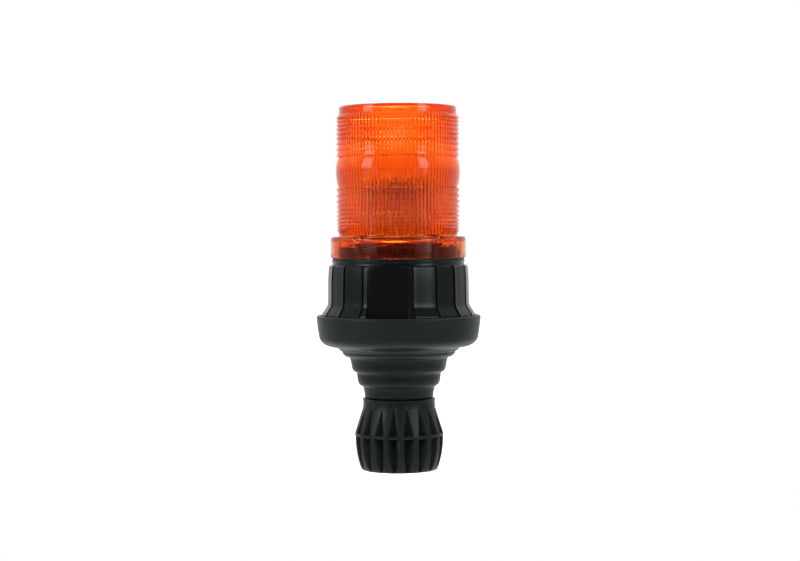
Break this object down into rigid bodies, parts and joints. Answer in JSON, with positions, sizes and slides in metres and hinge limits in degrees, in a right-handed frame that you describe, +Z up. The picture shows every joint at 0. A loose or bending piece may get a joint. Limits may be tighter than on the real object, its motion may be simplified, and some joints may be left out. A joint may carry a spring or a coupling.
{
  "type": "flexible-boot amber warning beacon",
  "caption": "Amber warning beacon: ribbed lens over a black housing on a flexible rubber boot, with a clamp knob for a pole spigot.",
  "frame": {"origin": "centre of the clamp knob's bottom face, on the beacon's axis", "axes": "+Z up along the beacon's axis from the knob to the lens; -Y is the front, where the housing's widest grip panel is; +X is to the right seen from the front"},
  "size_m": [0.104, 0.104, 0.2296],
  "materials": {
    "knob_nylon": "fine moulded grain, semi-matte",
    "ring_acetal": "smooth, slightly waxy",
    "tube_nylon": "glass-filled, semi-matte",
    "carrier_plastic": "plain moulded",
    "contact_brass": "turned, nickel free",
    "spring_steel": "drawn wire",
    "boot_rubber": "moulded black rubber, satin",
    "sleeve_rubber": "soft, matt",
    "lead_red": "insulated wire",
    "lead_black": "insulated wire",
    "cover_plastic": "fine grain",
    "seal_rubber": "smooth, slightly glossy",
    "screw_steel": "zinc plated",
    "housing_plastic": "semi-gloss black",
    "board_green": "solder mask",
    "capacitor_sleeve": "shrink sleeve",
    "ferrite": "pressed ferrite",
    "chip_plastic": "moulded epoxy",
    "pedestal_aluminium": "dark anodised",
    "board_white": "white solder mask",
    "led_plastic": "clear silicone over phosphor",
    "lens_amber": "clear amber polycarbonate, polished"
  },
  "bodies": {
    "mount": {"socket_tube": "tube_nylon", "contact_carrier": "carrier_plastic", "contact_spring": "spring_steel", "ring_contact": "contact_brass"},
    "clamp_ring": {"clamp_cone": "ring_acetal"},
    "knob": {"clamp_knob": "knob_nylon"},
    "contact": {"centre_contact": "contact_brass"},
    "boot_link": {"lead_sleeve": "sleeve_rubber"},
    "head": {"flex_boot": "boot_rubber", "lead_positive": "lead_red", "lead_negative": "lead_black", "lead_grommet": "sleeve_rubber", "base_cover": "cover_plastic", "cover_seal": "seal_rubber", "cover_screws": "screw_steel", "housing": "housing_plastic", "driver_board": "board_green", "board_capacitors": "capacitor_sleeve", "board_inductor": "ferrite", "board_chips": "chip_plastic", "board_screws": "screw_steel", "led_leads": "lead_red", "chassis_deck": "cover_plastic", "deck_screws": "screw_steel", "led_pedestal": "pedestal_aluminium", "led_board": "board_white", "led_chips": "led_plastic", "led_screw": "screw_steel", "lens_seal": "seal_rubber"},
    "lens_body": {"lens": "lens_amber"}
  },
  "joints": [
    {"name": "ring_slide", "type": "slide", "parent": "mount", "child": "clamp_ring", "axis": [0, 0, 1], "range_m": [-0.0031, 0]},
    {"name": "knob_turn", "type": "hinge", "parent": "clamp_ring", "child": "knob", "pos_m": [0, 0, 0.0214], "axis": [0, 0, 1], "range_deg": [-540, 0]},
    {"name": "contact_press", "type": "slide", "parent": "mount", "child": "contact", "axis": [0, 0, 1], "range_m": [0, 0.0025], "stiffness_N_per_m": 600, "springref_m": -0.0025, "deforming": ["contact_spring", "lead_positive"]},
    {"name": "boot_flex_x", "type": "hinge", "parent": "mount", "child": "boot_link", "pos_m": [0, 0, 0.066], "axis": [1, 0, 0], "range_deg": [-30, 30], "stiffness_Nm_per_rad": 6, "deforming": ["flex_boot", "lead_positive", "lead_negative"]},
    {"name": "boot_flex_y", "type": "hinge", "parent": "boot_link", "child": "head", "pos_m": [0, 0, 0.066], "axis": [0, 1, 0], "range_deg": [-30, 30], "stiffness_Nm_per_rad": 6, "deforming": ["flex_boot", "lead_positive", "lead_negative"]},
    {"name": "lens_twist", "type": "hinge", "parent": "head", "child": "lens_body", "pos_m": [0, 0, 0.141], "axis": [0, 0, 1], "range_deg": [0, 25]}
  ],
  "couplings": [
    {"joint": "ring_slide", "follows": "knob_turn", "m_per_rad": 0.0003183}
  ]
}
